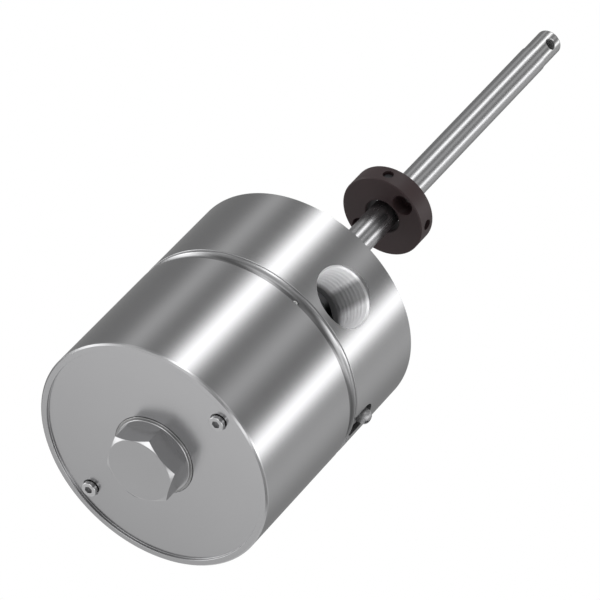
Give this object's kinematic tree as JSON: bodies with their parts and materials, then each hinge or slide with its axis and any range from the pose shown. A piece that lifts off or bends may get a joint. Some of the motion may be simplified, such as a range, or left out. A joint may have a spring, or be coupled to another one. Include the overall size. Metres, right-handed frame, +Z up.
{
  "type": "magnetostrictive linear position sensor",
  "caption": "Rod-style linear position sensor: round metal housing with a screw plug and a side cable port, screwed stem, slim rod and a sliding magnet ring.",
  "frame": {"origin": "on the sensor's axis, in the face of the fitting's hexagon that seats on the machine", "axes": "+Y along the rod towards its free end, the cover faces -Y, +Z up; the cable port leans 45 degrees from +X towards +Z"},
  "size_m": [0.0887, 0.2778, 0.0874],
  "materials": {
    "housing_metal": "fine-turned stainless steel, satin",
    "plug_metal": "turned and milled stainless steel, satin",
    "fitting_steel": "turned stainless steel",
    "rod_steel": "ground stainless steel tube",
    "screw_steel": "plain stainless steel",
    "seal_rubber": "black moulded rubber",
    "plug_seal_fibre": "grey flat seal",
    "inner_brass": "drawn brass",
    "inner_plastic": "natural moulded plastic",
    "waveguide_alloy": "drawn nickel-iron wire",
    "copper": "enamelled copper wire",
    "damper_rubber": "soft damping rubber",
    "head_plastic": "black moulded plastic",
    "board_laminate": "green circuit-board laminate",
    "carrier_plastic": "black moulded plastic",
    "component_black": "black component bodies",
    "terminal_plastic": "green moulded plastic",
    "ring_anodised": "dark anodised aluminium",
    "magnet_ferrite": "dark grey ferrite"
  },
  "bodies": {
    "housing": {"cover": "housing_metal", "face_screws": "screw_steel", "locking_screws": "screw_steel", "cover_seal": "seal_rubber", "housing_base": "housing_metal", "earth_saddle": "screw_steel", "earth_spring_washer": "screw_steel", "earth_screw": "screw_steel", "inner_earth_screw": "screw_steel", "process_fitting": "fitting_steel", "fitting_seal": "seal_rubber", "ring_nut": "fitting_steel", "rod_tube": "rod_steel", "rod_end_plug": "rod_steel", "guide_tube": "inner_brass", "guide_bushes": "inner_plastic", "waveguide_wire": "waveguide_alloy", "return_wire": "copper", "rod_damper": "damper_rubber", "head_housing": "head_plastic", "coil_bobbin": "inner_plastic", "pickup_coil": "copper", "head_damper": "damper_rubber", "head_cap": "head_plastic", "head_board": "board_laminate", "electronics_carrier": "carrier_plastic", "standoffs": "inner_brass", "main_board": "board_laminate", "board_screws": "screw_steel", "board_parts": "component_black", "terminal_block": "terminal_plastic", "terminal_screws": "screw_steel"},
    "plug_seal_ring": {"plug_seal": "plug_seal_fibre"},
    "plug": {"screw_plug": "plug_metal"},
    "magnet_ring": {"magnet_ring_body": "ring_anodised", "ring_magnets": "magnet_ferrite"}
  },
  "joints": [
    {"name": "ring_slide", "type": "slide", "parent": "housing", "child": "magnet_ring", "axis": [0, 1, 0], "range_m": [-0.0249, 0.0995]},
    {"name": "plug_lift", "type": "slide", "parent": "housing", "child": "plug_seal_ring", "axis": [0, -1, 0], "range_m": [0, 0.00675]},
    {"name": "plug_turn", "type": "hinge", "parent": "plug_seal_ring", "child": "plug", "pos_m": [0, -0.1, 0], "axis": [0, -1, 0], "range_deg": [0, 1620]}
  ],
  "couplings": [
    {"joint": "plug_lift", "follows": "plug_turn", "m_per_rad": 0.00023873}
  ]
}
